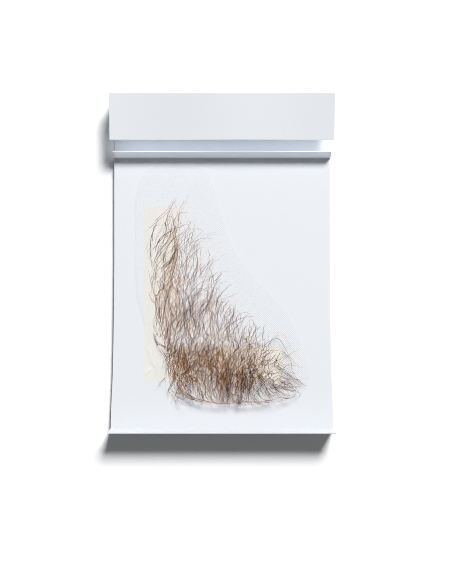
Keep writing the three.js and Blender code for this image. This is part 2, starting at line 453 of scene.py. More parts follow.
@dataclass
class DisplayCard:
    """The folded card: header flap, top wall, floor, and the panel between its lip and its foot."""

    form: CardForm
    finish: PaperFinish
    painted_shade_foot_finish: PaperFinish
    columns: int = 24
    panel_steps: int = 32
    header_wave: float = 0.45 * MM
    wave_run: float = 13 * MM
    wave_start: float = 0.6
    cut_edge: float = 0.1 * MM
    cut_angle_deg: float = 60

    def back_line(self) -> list[Pair]:
        """Fold the middle line of the header flap, the top wall and the floor.

        Returns:
            Points (y, z) along it.
        """
        form = self.form
        half = form.thickness / 2
        wall = form.length / 2 - half
        header = (wall - form.header_depth, form.header_top - form.header_drop)
        return [header, (wall, form.header_top), (wall, half), (form.lip_y, half)]

    def lip_line(self) -> list[Pair]:
        """Fold the middle line of the lip, from the surface to its free edge.

        Returns:
            Points (y, z) along it.
        """
        form = self.form
        seam = form.panel_lift + form.thickness / 2
        base = [(form.lip_y, 0.0), (form.lip_y, seam)]
        return [*base, (form.lip_y + form.lip_lean, form.lip_top)]

    def panel_line(self) -> list[Pair]:
        """Lay the middle line of the panel, from the lip to the foot.

        Returns:
            Points (y, z) along it.
        """
        half = self.form.thickness / 2
        y = np.linspace(self.form.lip_y, self.foot_y(), self.panel_steps)
        return list(zip(y.tolist(), (self.form.panel_top(y) - half).tolist()))

    def foot_y(self) -> float:
        """Where the foot stands."""
        return -self.form.length / 2 + self.form.thickness / 2 + self.form.foot_lean

    def foot_line(self) -> list[Pair]:
        """Fold the middle line of the foot, from the surface to its free edge.

        Returns:
            Points (y, z) along it.
        """
        foot = self.foot_y()
        seam = self.panel_line()[-1][1]
        return [(foot, 0.0), (foot, seam), (foot - self.form.foot_lean, self.form.foot_top)]

    def strip(self, bm: bmesh.types.BMesh, line: list[Pair], low: float, high: float) -> None:
        """Draw a line across the card as a strip of faces.

        Args:
            bm: the bmesh to add to.
            line: points (y, z) along the sheet.
            low: how much wider than the panel the strip is at the surface.
            high: how much wider it is at the header's height.
        """
        points = [bm.verts.new((-0.5, y, z)) for y, z in line]
        edges = [bm.edges.new(pair) for pair in zip(points, points[1:])]
        made_points = list(points)
        for _ in range(self.columns):
            made = bmesh.ops.extrude_edge_only(bm, edges=edges)["geom"]
            moved = [g for g in made if isinstance(g, bmesh.types.BMVert)]
            edges = [g for g in made if isinstance(g, bmesh.types.BMEdge)]
            edges = [e for e in edges if all(v in moved for v in e.verts)]
            bmesh.ops.translate(bm, verts=moved, vec=(1 / self.columns, 0, 0))
            made_points += moved
        for v in made_points:
            v.co.x *= self.form.width(v.co.y) + low + (high - low) * v.co.z / self.form.header_top

    def sheet(self, name: str, bm: bmesh.types.BMesh, material: bpy.types.Material) -> bpy.types.Object:
        """Give strips of the card their thickness and soften their cut edges.

        Args:
            name: the piece's name.
            bm: the strips.
            material: the board's finish.

        Returns:
            The piece.
        """
        bmesh.ops.recalc_face_normals(bm, faces=bm.faces)
        piece = new_piece(name, mesh_of(bm, name), material)
        wall_maker = piece.modifiers.new("board", "SOLIDIFY")
        wall_maker.thickness = self.form.thickness
        wall_maker.offset = 0
        wall_maker.use_even_offset = True
        edge = piece.modifiers.new("cut_edges", "BEVEL")
        edge.width = self.cut_edge
        edge.segments = 2
        edge.limit_method = "ANGLE"
        edge.angle_limit = math.radians(self.cut_angle_deg)
        edge.harden_normals = True
        hold(piece, "display_card")
        return piece

    def build(self) -> list[bpy.types.Object]:
        """Fold the header, lay the panel behind its lip, and stand the foot at its end.

        Returns:
            The folded sheet and the foot.
        """
        form = self.form
        material = self.finish.material()
        bm = bmesh.new()
        self.strip(bm, self.back_line(), 0.0, form.header_spread)
        under_flap = form.header_top - form.header_drop - MM
        for v in bm.verts:
            if v.co.z > under_flap:
                free = (form.length / 2 - v.co.y) / form.header_depth
                v.co.z += self.header_wave * free**2 * math.sin(v.co.x / self.wave_run + self.wave_start)
        self.strip(bm, self.panel_line(), 0.0, 0.0)
        self.strip(bm, self.lip_line(), form.upright_spread, form.upright_spread)
        folded = self.sheet("card_sheet", bm, material)
        bm = bmesh.new()
        self.strip(bm, self.foot_line(), form.upright_spread, form.upright_spread)
        # The foot's finish is the same board painted greyer: painted shade on its lamp-lit inner face.
        foot = self.sheet("card_foot", bm, self.painted_shade_foot_finish.material())
        foot.visible_diffuse = False
        return [folded, foot]


@dataclass(frozen=True)
class Wrinkle:
    """A crease in the tape: its middle, its run across and along, its half width and its height."""

    x: float
    y: float
    run_x: float
    run_y: float
    half_width: float
    height: float


@dataclass
class TapeStrip:
    """One strip of tape stuck flat on the panel."""

    name: str
    node: str
    form: CardForm
    wrinkles: tuple[Wrinkle, ...] = ()
    cell: float = 0.5 * MM
    thickness: float = 0.05 * MM
    lift: float = 0.02 * MM

    def crease(self, x: float, y: float) -> float:
        """Find the height that the wrinkles add.

        Args:
            x: the place across the card.
            y: the place up the card.

        Returns:
            The height there.
        """
        rise = 0.0
        for w in self.wrinkles:
            run = math.hypot(w.run_x, w.run_y)
            along = ((x - w.x) * w.run_x + (y - w.y) * w.run_y) / run
            aside = ((x - w.x) * w.run_y - (y - w.y) * w.run_x) / run
            fade = max(0.0, 1 - (2 * along / run) ** 2)
            rise += w.height * fade * math.exp(-((aside / w.half_width) ** 2))
        return rise

    def build(self, material: bpy.types.Material) -> bpy.types.Object:
        """Lay the strip over the panel, creased, and give it its thickness.

        Args:
            material: the tape's finish.

        Returns:
            The strip.
        """
        low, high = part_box(self.node)
        across = max(2, round((high.x - low.x) / self.cell))
        along = max(2, round((high.y - low.y) / self.cell))
        bm = bmesh.new()
        bmesh.ops.create_grid(bm, x_segments=across, y_segments=along, size=0.5)
        for v in bm.verts:
            x = low.x + (v.co.x + 0.5) * (high.x - low.x)
            y = low.y + (v.co.y + 0.5) * (high.y - low.y)
            z = float(self.form.panel_top(np.array(y))) + self.lift + self.crease(x, y)
            v.co = (x, y, z)
        piece = new_piece(self.name, mesh_of(bm, self.name, smooth=False), material)
        wall = piece.modifiers.new("tissue", "SOLIDIFY")
        wall.thickness = self.thickness
        wall.offset = 1
        hold(piece, self.node)
        return piece


TAPE_WRINKLES = (
    Wrinkle(-39 * MM, -47 * MM, 3 * MM, -9 * MM, 0.8 * MM, 0.2 * MM),
    Wrinkle(-37 * MM, -53 * MM, 5 * MM, -6 * MM, 0.9 * MM, 0.16 * MM),
    Wrinkle(-39.5 * MM, -57.5 * MM, 4 * MM, 4 * MM, 0.8 * MM, 0.16 * MM),
)


@dataclass(frozen=True)
class LaceRow:
    """The lace's left and right edge at one height up the card, in millimetres."""

    y: float
    left: float
    right: float


LACE_ROWS = (
    LaceRow(-76, -8.2, 27.5),
    LaceRow(-72.9, -20.4, 37.6),
    LaceRow(-67.7, -30, 44.2),
    LaceRow(-59.4, -35.5, 47),
    LaceRow(-51.2, -37.6, 45.3),
    LaceRow(-43, -39.6, 42.8),
    LaceRow(-33.9, -41.3, 38.9),
    LaceRow(-24.9, -43.6, 33.7),
    LaceRow(-15.9, -45.5, 25.9),
    LaceRow(-7.9, -46.2, 17.9),
    LaceRow(2, -46.4, 10.2),
    LaceRow(13, -46.4, 4.2),
    LaceRow(24.9, -46.4, 0.5),
    LaceRow(35.9, -46.2, -2.6),
    LaceRow(43.9, -43.8, -5.6),
    LaceRow(50.8, -39.2, -9.9),
    LaceRow(53.8, -32.9, -16.9),
)


@dataclass
class LaceBase:
    """The sheer net that the hair is knotted to."""

    form: CardForm
    finish: NetFinish
    rows: tuple[LaceRow, ...] = LACE_ROWS
    across: int = 60
    along: int = 110
    thickness: float = 0.2 * MM
    measures: int = 200

    def edges(self, y: np.ndarray) -> tuple[np.ndarray, np.ndarray]:
        """Left and right edge of the lace at each y."""
        places, left, right = (table_column(self.rows, name) * MM for name in ("y", "left", "right"))
        return smooth_column(places, left, y), smooth_column(places, right, y)

    def build(self) -> bpy.types.Object:
        """Returns:
            The net.
        """
        bottom = self.rows[0].y * MM
        top = self.rows[-1].y * MM
        bm = bmesh.new()
        bmesh.ops.create_grid(bm, x_segments=self.across, y_segments=self.along, size=0.5)
        for v in bm.verts:
            share = (1 - math.cos(math.pi * (v.co.y + 0.5))) / 2
            y = np.array(bottom + (top - bottom) * share)
            left, right = self.edges(y)
            x = left + (right - left) * (v.co.x + 0.5)
            v.co = (float(x), float(y), float(self.form.lace_top(x, y)))
        piece = new_piece("lace_net", mesh_of(bm, "lace_net"), self.finish.material())
        wall = piece.modifiers.new("threads", "SOLIDIFY")
        wall.thickness = self.thickness
        wall.offset = -1
        hold(piece, "lace_base")
        y = np.linspace(bottom, top, self.measures)
        left, right = self.edges(y)
        rise = np.gradient(self.form.lace_top(0 * y, y), y)
        return piece


@dataclass(frozen=True)
class HairRow:
    """One row of knots: its ends, the lean of its hairs from +Y to +X, their length and its share.

    Millimetres and degrees. The leans are at the row's left end, its middle and its right end.
    """

    y: float
    left: float
    right: float
    leans: Triple
    length: float
    share: float


@dataclass(frozen=True)
class Guide:
    """A leading hair: how many run with it, how far they stray from it, and its course over the lace.

    A leading hair is a coarse one unless it is pale.
    """

    company: int
    stray: float
    course: tuple[Pair, ...]
    pale: bool = False


@dataclass(frozen=True)
class StrandKind:
    """One thickness of hair, in millimetres, with its range of tones and its share of the zone's loft."""

    name: str
    radius: float
    dark: float
    pale: float
    loft: float


FINE = StrandKind("fine", 0.055, 0.5, 0.92, 0.6)
COARSE = StrandKind("coarse", 0.1, 0.0, 0.4, 1.4)


@dataclass(frozen=True)
class HairZone:
    """A stretch of the hair whose strands lie alike. Angles in degrees, sizes in millimetres.

    The thinning is how many fewer hairs, as a share, the rows have at their right ends. The hairs of a
    hemmed zone stand off the card and follow the lace's lower edge, and its coarse ones cast shadows.
    """

    name: str
    fine: int
    coarse: int
    rows: tuple[HairRow, ...]
    guides: tuple[Guide, ...]
    spread: float
    curl: float
    curl_spread: float
    wave: float
    wave_length: float
    loft: float
    turned_share: float = 0.0
    thinning: float = 0.0
    hemmed: bool = False


CROWN_ROWS = (
    HairRow(-41, -33.2, 6, (-8, 0, 6), 17, 2.4),
    HairRow(-30.9, -35.5, 0, (-4, 2, 8), 18, 1.9),
    HairRow(-20.9, -36.9, -4, (0, 6, 10), 18, 1.4),
    HairRow(-10.9, -37.9, -8, (2, 8, 12), 18, 1.0),
    HairRow(-1, -38.3, -10.9, (6, 12, 14), 17, 0.7),
    HairRow(9, -38.3, -14.9, (16, 18, 15), 15, 0.55),
    HairRow(19, -35.8, -18.9, (28, 20, 14), 13, 0.5),
    HairRow(24.9, -32.9, -23.9, (30, 20, 20), 11, 0.3),
)
SLOPE_ROWS = (
    HairRow(-45.1, 8, 27, (2, 10, 22), 9, 1.0),
    HairRow(-36, 2, 15, (4, 10, 18), 9, 0.8),
    HairRow(-25.9, -2, 6, (6, 10, 18), 9, 0.6),
    HairRow(-15.9, -6, -1, (8, 14, 20), 9, 0.45),
    HairRow(-5.9, -9, -5, (14, 18, 22), 9, 0.35),
    HairRow(4, -10.9, -9, (18, 22, 25), 9, 0.25),
)
CHEEK_ROWS = (
    HairRow(-64.6, -27.4, 32.4, (10, 10, 60), 11, 0.7),
    HairRow(-59.4, -28.4, 32.4, (4, 6, 50), 12, 1.6),
    HairRow(-53.3, -29.8, 30.3, (-4, 2, 34), 13, 1.9),
    HairRow(-47.1, -31.2, 28.2, (-8, 0, 24), 13, 1.7),
    HairRow(-41, -32.7, 25.1, (-8, 0, 18), 12, 0.7),
)
JAW_ROWS = (
    HairRow(-74, -12.3, 32.5, (120, 130, 90), 5, 0.4),
    HairRow(-69.8, -21.4, 36.6, (150, 170, 105), 6, 0.7),
    HairRow(-64.6, -25.4, 36.5, (165, 178, 112), 9, 1.0),
    HairRow(-59.4, -26.4, 34.4, (170, 178, 118), 12, 1.0),
)
CROWN_GUIDES = (
    Guide(1, 1.2, ((-38.9, 19.1), (-32.6, 24.6), (-29.5, 27.6), (-27.1, 32.4), (-24.7, 36.1))),
    Guide(2, 1.8, ((-30.4, 14.8), (-29.2, 21.7), (-27.7, 26), (-26.3, 29.7), (-23.8, 32.4))),
    Guide(1, 1.5, ((-22.9, 17), (-21.7, 24.4), (-20.3, 29.7), (-18.1, 34.5), (-15.6, 38.3)), pale=True),
    Guide(1, 1.8, ((-16.4, 8), (-15.6, 13.5), (-14.6, 19), (-14.2, 24.5)), pale=True),
    Guide(1, 0.8, ((-25.6, 7.9), (-24.8, 12.2), (-20.3, 17.5), (-17.4, 20.6), (-16.7, 23.6), (-18.7, 22.2))),
    Guide(2, 1.8, ((-23.5, 7.4), (-21.9, 9), (-19.7, 11.1), (-17.1, 13.5), (-13.8, 15.9))),
    Guide(4, 2.0, ((-35.9, -11.3), (-34.5, -0.7), (-29.5, 5.8), (-26.3, 9.5), (-24.7, 12.7), (-25.3, 22.2))),
    Guide(10, 1.0, ((-31.5, -3.2), (-29.9, -1.2), (-27.4, 0.9), (-25.6, 3.9), (-24.2, 6.8), (-24, 11.1))),
    Guide(13, 1.2, ((-27.5, -8), (-25.6, -2), (-24.2, 4), (-24, 9), (-25.2, 14.5), (-26.3, 20))),
    Guide(2, 2.2, ((-35.1, 5.2), (-32.4, 8.4), (-29.9, 11.1), (-27.2, 15.1), (-26.1, 20.2), (-25.1, 26))),
    Guide(1, 1.5, ((-35.9, 9.5), (-35.5, 13.8), (-34.1, 17.5), (-30.7, 18.3), (-29.1, 21.2)), pale=True),
    Guide(2, 1.2, ((-38.3, 0.9), (-38.6, 7.4), (-37.8, 13.8), (-35.7, 19.1), (-33.1, 24.4)), pale=True),
    Guide(3, 2.4, ((-30.4, -15), (-30.5, -10.7), (-30.1, -4.8), (-28.8, 0.9), (-27.2, 7.4))),
    Guide(3, 2.1, ((-27.2, -13.9), (-26.3, -8.1), (-24.2, -3.8), (-23.2, 0.9), (-22.9, 7.4))),
    Guide(1, 0.9, ((-22.4, 7.4), (-21.3, 3.1), (-20.3, 0.1), (-18.7, -1.7))),
    Guide(1, 1.8, ((-17.6, -11.8), (-14.4, -6.4), (-13.1, -3.2), (-12.8, 1.5), (-13.3, 6.8), (-12.5, 9.5))),
    Guide(0, 1.8, ((-11.3, -5.9), (-10, -3), (-8.2, -0.4), (-5.8, 3.1))),
    Guide(1, 2.4, ((-20.8, -9.7), (-19.2, -3.2), (-19.2, 3.1), (-17.1, 9), (-15.4, 13.8))),
    Guide(2, 2.1, ((-33.6, -22.5), (-35.7, -17.1), (-36.1, -11.3), (-36, -7.5), (-35, -2.3))),
    Guide(4, 2.0, ((-32.3, -35.2), (-33.2, -23), (-33, -18.7), (-30.9, -15), (-30.4, -11.3), (-30.8, -6.4))),
    Guide(
        4, 2.1, ((-27.5, -35.8), (-27, -28.8), (-27.2, -23), (-27.7, -18.5), (-24.9, -15.3), (-21.8, -13.7))
    ),
    Guide(2, 1.4, ((-34.1, -38.4), (-35.6, -35.8), (-36.3, -32.5), (-34.6, -30.2), (-32.5, -29.9))),
    Guide(2, 1.4, ((-34.6, -43.8), (-35.9, -40.6), (-35.9, -37.9), (-34.4, -37.1), (-32, -37.9))),
    Guide(2, 1.2, ((-29.9, -44.6), (-34.1, -42.1), (-35.9, -39), (-35.5, -34.7))),
    Guide(1, 1.2, ((-35.1, -21.4), (-37.3, -19.8), (-38.6, -16.9), (-38.2, -14.5), (-36.8, -13.4))),
    Guide(
        4,
        2.1,
        ((-19.2, -35.2), (-16.7, -26.2), (-15.2, -22.5), (-13.5, -18.7), (-13.9, -15), (-12.9, -10.2)),
    ),
)
SLOPE_GUIDES = (
    Guide(2, 2.1, ((-7.5, -25.7), (-7.5, -19.3), (-7.1, -14.5), (-6.2, -9.7))),
    Guide(2, 2.4, ((-3.8, -27.8), (-3.2, -23), (-2.2, -18.2), (0.7, -13.4))),
    Guide(3, 1.4, ((4, -42.1), (3.4, -37.9), (3.2, -34.9), (4.2, -31.5), (5.8, -27.8))),
)
JAW_GUIDES = (
    Guide(2, 1.5, ((-24, -66), (-19, -69.4), (-13, -72), (-6, -73.6), (1, -74.4), (7, -74.6))),
    Guide(2, 1.8, ((3, -72), (8, -73.6), (15, -74.4), (22, -74.2), (29, -73), (34, -71))),
    Guide(
        2,
        1.5,
        ((-19.2, -58.6), (-18.2, -62.7), (-16.7, -66.4), (-17.3, -69.8), (-15.3, -72.5), (-12.3, -73.8)),
    ),
    Guide(
        1, 1.0, ((-14.4, -61.8), (-11, -69), (-9.6, -71.9), (-10.3, -74.6), (-12.8, -75.1), (-14.7, -73.8))
    ),
    Guide(5, 1.2, ((-10.7, -61.3), (-9.3, -65), (-6.7, -69), (-6.3, -71.9), (-3.9, -74.1), (0.7, -75.1))),
    Guide(9, 1.7, ((0.5, -58.1), (1.4, -63), (2.5, -67.2), (2.2, -71.4), (3.8, -74.1), (7.4, -75.1))),
    Guide(2, 1.4, ((-26.1, -61.3), (-26.6, -65), (-27.4, -67.7), (-27.2, -70.6), (-25.1, -72.7))),
    Guide(0, 2.1, ((-30.4, -60.8), (-32.5, -62.7), (-36.2, -66.1))),
    Guide(2, 1.0, ((-35.2, -41.3), (-33, -46.7), (-30.7, -49.9), (-30.2, -54.1), (-31.1, -60.8))),
    Guide(
        4, 0.9, ((-26.7, -68.5), (-19.9, -69.1), (-17, -71.3), (-14.4, -73.5), (-9.6, -74.8), (-4.8, -75.1))
    ),
    Guide(2, 1.5, ((-25, -69.3), (-22.9, -73), (-19.7, -75.4), (-17.1, -76.1))),
    Guide(4, 2.0, ((13.3, -49.1), (16.5, -55.6), (20, -59.2), (23.6, -62.8), (27.2, -65.2), (30, -68.5))),
    Guide(4, 1.8, ((15.4, -52.2), (17.6, -55.7), (20.2, -60.3), (23.5, -65.5), (25.7, -69.1), (29, -74.1))),
    Guide(2, 1.0, ((29.8, -54.4), (32.8, -56.7), (35.6, -58.8), (39.2, -61.1), (41.6, -63.1), (41, -65.5))),
    Guide(1, 1.4, ((27.2, -64), (33.5, -65.5), (37, -66), (39.2, -67.4), (38.8, -70.3), (36.1, -73))),
    Guide(1, 1.4, ((24.4, -43.8), (27.7, -40), (29.9, -39.8), (33.5, -44.3), (35.6, -48), (41.5, -53.9))),
    Guide(1, 1.8, ((33, -46.9), (37.1, -52.6), (37.5, -56.3), (39.9, -60), (42.1, -64))),
    Guide(5, 1.2, ((11.7, -58.6), (13.3, -63.5), (15, -69), (17.6, -72.6), (21.5, -75), (27.1, -75.4))),
    Guide(2, 1.5, ((16, -61.8), (18.6, -67.2), (20.7, -70.8), (23.6, -73.6), (26.5, -74.8))),
    Guide(1, 1.2, ((8.5, -70.3), (8.7, -74.1), (9.3, -77), (9, -80.4))),
    Guide(1, 1.2, ((-17, -71.4), (-15.4, -75.6), (-14.6, -79.4))),
    Guide(34, 2.9, ((2.6, -54.4), (2.4, -59.8), (3, -65), (2.6, -69.8), (3.7, -74.6))),
    Guide(36, 3.1, ((8, -55.4), (8.7, -63), (9.7, -69), (9.3, -73), (10.7, -75.6))),
    Guide(26, 2.8, ((11.7, -54.4), (13, -59.8), (12.8, -64), (11.4, -68.2), (10.3, -74.1))),
    Guide(2, 1.8, ((-5.4, -60.3), (-3.8, -65), (-1.1, -69.3), (0, -72.5), (3.1, -74.8))),
    Guide(2, 1.8, ((30.8, -57.6), (33, -61.3), (34.1, -65.5), (36.7, -69.3), (35.1, -72.5))),
    Guide(2, 1.8, ((26.1, -51.2), (29.8, -52.8), (33, -54.9), (36.7, -56.6), (39.9, -58.6))),
)
HAIR_ZONES = (
    HairZone("hair_crown", 335, 158, CROWN_ROWS, CROWN_GUIDES, 23, 4, 62, 17, 3.9, 1.1, thinning=0.5),
    HairZone("hair_slope", 26, 44, SLOPE_ROWS, SLOPE_GUIDES, 20, 0, 56, 16, 3.8, 1.0, thinning=0.7),
    HairZone(
        "hair_cheek", 800, 465, CHEEK_ROWS, (), 32, 0, 62, 22, 3.8, 1.6, turned_share=0.4, thinning=0.8
    ),
    HairZone("hair_jaw", 220, 82, JAW_ROWS, JAW_GUIDES, 17, -22, 36, 13, 4.2, 1.4, hemmed=True),
)


@dataclass(frozen=True)
class Hem:
    """The arc along the lace's lower edge that the jaw's hairs turn to follow, in millimetres.

    It is lowest at its middle and rises by its bow times the square of the way from there. Chance lifts it
    for each hair, by the scatter at most, and the hair starts to turn along it at the ease above it. How far
    a hair would run below it counts up to the reach, and a few hairs run free.
    """

    middle: float = 10
    low: float = -77.4
    bow: float = 0.0045
    scatter: float = 2.4
    ease: float = 2.5
    reach: float = 30
    free_share: float = 0.06


@dataclass
class HairStrands:
    """The hairs of one zone as thin three-sided tapered tubes, the fine and the coarse ones each in a mesh.

    The fine ones are golden and the coarse ones dark, both drawn thicker than life. Sizes are in
    millimetres. A range holds the least and the most of what chance gives a hair.
    """

    zone: HairZone
    form: CardForm
    dice: np.random.Generator
    arc: Hem = Hem()
    rings: int = 18
    sides: int = 3
    tip_share: float = 0.35
    row_steps: int = 400
    across_steps: int = 200
    tuft_runs: Pair = (4.1, 6.3)
    tuft_start: float = 1.3
    wisp_runs: Pair = (2.3, 5.0)
    wisp_share: float = 0.6
    single_sway: float = 0.9
    tuft_sway: float = 0.3
    length_range: Pair = (0.5, 1.3)
    wave_length_range: Pair = (0.7, 1.5)
    wave_range: Pair = (0.5, 1.5)
    curl_power: float = 1.3
    left_margin: float = 1.5
    start_range: Pair = (0, 0.25)
    end_range: Pair = (0.75, 1.0)
    crimp_range: Pair = (0.04, 0.17)
    parting: float = 0.7
    fine_company: float = 0.6
    least_loft: float = 0.2
    more_loft: float = 1.9
    lift_rate: float = 3.5
    tip_drop: float = 0.45
    least_girth: float = 0.75
    more_girth: float = 0.65

    def column(self, name: str) -> np.ndarray:
        """One column of the zone's rows."""
        return table_column(self.zone.rows, name)

    def tufts(self, x: np.ndarray, y: np.ndarray) -> np.ndarray:
        """Find how the tufts and the wisps in them sway the hairs.

        Args:
            x: places across the card.
            y: places up the card.

        Returns:
            The sway at each place, in shares of the zone's spread.
        """
        tuft = np.sin(x / self.tuft_runs[0] + self.tuft_start) * np.cos(y / self.tuft_runs[1])
        return tuft + self.wisp_share * np.sin(x / self.wisp_runs[0] + y / self.wisp_runs[1])

    def field_roots(self) -> tuple[np.ndarray, np.ndarray, np.ndarray, np.ndarray]:
        """Scatter the knots of the hairs over the rows.

        Returns:
            Each hair's place across and up the card, its lean and its length.
        """
        n = self.zone.fine + self.zone.coarse
        places = self.column("y")
        steps = np.linspace(places[0], places[-1], self.row_steps)
        width = np.interp(steps, places, self.column("right") - self.column("left"))
        odds = np.cumsum(np.interp(steps, places, self.column("share")) * width)
        y = np.interp(self.dice.random(n), odds / odds[-1], steps)
        left = np.interp(y, places, self.column("left"))
        right = np.interp(y, places, self.column("right"))
        places_across = np.linspace(0, 1, self.across_steps)
        odds = np.cumsum(1 - self.zone.thinning * np.clip(2 * places_across - 1, 0, 1))
        across = np.interp(self.dice.random(n), odds / odds[-1], places_across)
        x = left + (right - left) * across
        leans = self.column("leans")
        ends = [np.interp(y, places, leans[:, i]) for i in range(3)]
        left_half = ends[0] + (ends[1] - ends[0]) * 2 * across
        right_half = ends[1] + (ends[2] - ends[1]) * (2 * across - 1)
        lean = np.where(across < 0.5, left_half, right_half)
        sway = self.single_sway * self.dice.standard_normal(n) + self.tuft_sway * self.tufts(x, y)
        lean = lean + self.zone.spread * sway
        lean = lean + 180 * (self.dice.random(n) < self.zone.turned_share)
        length = np.interp(y, places, self.column("length")) * self.dice.uniform(*self.length_range, n)
        return x, y, lean, length

    def field_courses(self) -> np.ndarray:
        """Draw the courses of the hairs of the rows.

        Returns:
            Hairs by points by two, in millimetres.
        """
        x, y, lean, length = self.field_roots()
        n = len(x)
        s = np.linspace(0, 1, self.rings)
        curl = self.zone.curl + self.zone.curl_spread * self.dice.standard_normal(n)
        wave_length = self.zone.wave_length * self.dice.uniform(*self.wave_length_range, n)[:, None]
        turns = length[:, None] * s / wave_length + self.dice.random(n)[:, None]
        wave = self.zone.wave * self.dice.uniform(*self.wave_range, n)[:, None] * np.sin(2 * math.pi * turns)
        angle = np.radians(lean[:, None] + curl[:, None] * s**self.curl_power + wave)
        step = length[:, None] / (self.rings - 1)
        dx = np.sin(angle) * step
        dy = np.cos(angle) * step
        margin = np.interp(y, self.column("y"), self.column("left")) - self.left_margin
        dx[x + dx.sum(1) < margin] *= -1
        return np.stack([x[:, None] + np.cumsum(dx, 1) - dx, y[:, None] + np.cumsum(dy, 1) - dy], 2)

    def guided_courses(self, guide: Guide) -> np.ndarray:
        """Draw the courses of a leading hair and the hairs that run with it.

        Args:
            guide: the leading hair.

        Returns:
            Hairs by points by two, in millimetres.
        """
        n = guide.company + 1
        points = np.array(guide.course, float)
        marks = np.concatenate([[0], np.cumsum(np.linalg.norm(np.diff(points, axis=0), axis=1))])
        start = self.dice.uniform(*self.start_range, n) * marks[-1]
        end = self.dice.uniform(*self.end_range, n) * marks[-1]
        start[0], end[0] = 0, marks[-1]
        s = np.linspace(0, 1, self.rings)
        at = start[:, None] + (end - start)[:, None] * s
        line = np.stack([smooth_column(marks, points[:, i], at) for i in range(2)], 2)
        run = np.gradient(line, axis=1)
        run /= np.linalg.norm(run, axis=2, keepdims=True)
        aside = np.stack([run[:, :, 1], -run[:, :, 0]], 2)
        turns = at / self.zone.wave_length + self.dice.random(n)[:, None]
        crimp = self.dice.uniform(*self.crimp_range, n)[:, None] * np.sin(2 * math.pi * turns)
        stray = guide.stray * self.dice.standard_normal((n, 1, 2))
        part = self.parting * guide.stray * self.dice.standard_normal((n, 1, 2)) * s[None, :, None] ** 2
        stray[0] = 0
        return line + crimp[:, :, None] * aside + stray + part

    def hem(self, flat: np.ndarray) -> np.ndarray:
        """Turn hairs along the arc of the lace's lower edge where they would cross it.

        Args:
            flat: their courses, in millimetres.

        Returns:
            The turned courses.
        """
        arc = self.arc
        lowest = arc.low + arc.bow * (flat[:, :, 0] - arc.middle) ** 2
        edge = lowest + arc.scatter * self.dice.random((len(flat), 1))
        over = np.maximum(flat[:, :, 1] - edge, -arc.reach)
        eased = np.where(over < arc.ease, arc.ease * np.exp(over / arc.ease - 1), over)
        return np.stack([flat[:, :, 0], edge + eased], 2)

    def lines(self, fine: np.ndarray) -> np.ndarray:
        """Lift the hairs' courses off the lace, the coarse ones over the fine ones.

        Args:
            fine: which hairs are fine.

        Returns:
            The middle line of every hair, hairs by points by three, in metres.
        """
        courses = [self.field_courses(), *(self.guided_courses(g) for g in self.zone.guides)]
        flat = np.concatenate(courses)
        if self.zone.hemmed:
            held = self.dice.random(len(flat)) > self.arc.free_share
            flat[held] = self.hem(flat[held])
        flat = flat * MM
        s = np.linspace(0, 1, self.rings)
        chance = self.dice.random((len(flat), 1))
        loft = self.zone.loft * MM * (self.least_loft + self.more_loft * chance**2)
        loft *= np.where(fine, FINE.loft, COARSE.loft)[:, None]
        rise = loft * (1 - np.exp(-self.lift_rate * s)) * (1 - self.tip_drop * s**2)
        z = self.form.lace_top(flat[:, :, 0], flat[:, :, 1]) + rise
        return np.concatenate([flat, z[:, :, None]], 2)

    def sweep(self, line: np.ndarray, kind: StrandKind, material: bpy.types.Material) -> bpy.types.Object:
        """Sweep a tapered tube along each hair of one thickness and join them.

        Args:
            line: the hairs' middle lines, hairs by points by three.
            kind: their thickness.
            material: the hair's finish.

        Returns:
            The joined hairs.
        """
        n = len(line)
        tangent = np.gradient(line, axis=1)
        tangent /= np.linalg.norm(tangent, axis=2, keepdims=True)
        side = np.cross(tangent, (0, 0, 1.0))
        side /= np.linalg.norm(side, axis=2, keepdims=True) + 1e-9
        over = np.cross(side, tangent)
        s = np.linspace(0, 1, self.rings)
        girth = kind.radius * MM * (self.least_girth + self.more_girth * self.dice.random(n) ** 2)
        girth = girth[:, None] * (1 - (1 - self.tip_share) * s**2)
        corners = np.arange(self.sides) * 2 * math.pi / self.sides + math.pi / 2
        ring = (
            side[:, :, None] * np.cos(corners)[None, None, :, None]
            + over[:, :, None] * np.sin(corners)[None, None, :, None]
        )
        points = (line[:, :, None] + ring * girth[:, :, None, None]).reshape(-1, 3)
        tone = kind.dark + (kind.pale - kind.dark) * self.dice.random(n)
        name = f"{self.zone.name}_{kind.name}"
        mesh = tube_mesh(name, points, n, self.rings, self.sides)
        give_tones(mesh, np.repeat(tone, self.rings * self.sides))
        piece = new_piece(name, mesh, material)
        piece.visible_shadow = self.zone.hemmed and kind is COARSE
        hold(piece, "hair")
        return piece

    def build(self, material: bpy.types.Material) -> tuple[list[bpy.types.Object], np.ndarray]:
        """Build the zone's fine and coarse hairs.

        Args:
            material: the hair's finish.

        Returns:
            The two pieces, and the hairs' roots.
        """
        zone = self.zone
        odds = [np.full(zone.fine + zone.coarse, zone.fine / (zone.fine + zone.coarse))]
        odds += [np.append(guide.pale, np.full(guide.company, self.fine_company)) for guide in zone.guides]
        odds = np.concatenate(odds)
        fine = self.dice.random(len(odds)) < odds
        line = self.lines(fine)
        pieces = [self.sweep(line[fine], FINE, material), self.sweep(line[~fine], COARSE, material)]
        return pieces, line[:, 0]


def give_tones(mesh: bpy.types.Mesh, tones: np.ndarray) -> None:
    """Write the hair's tone at each corner of a mesh."""
    mesh.attributes.new("tone", "FLOAT", "POINT").data.foreach_set("value", tones.astype(np.float32))


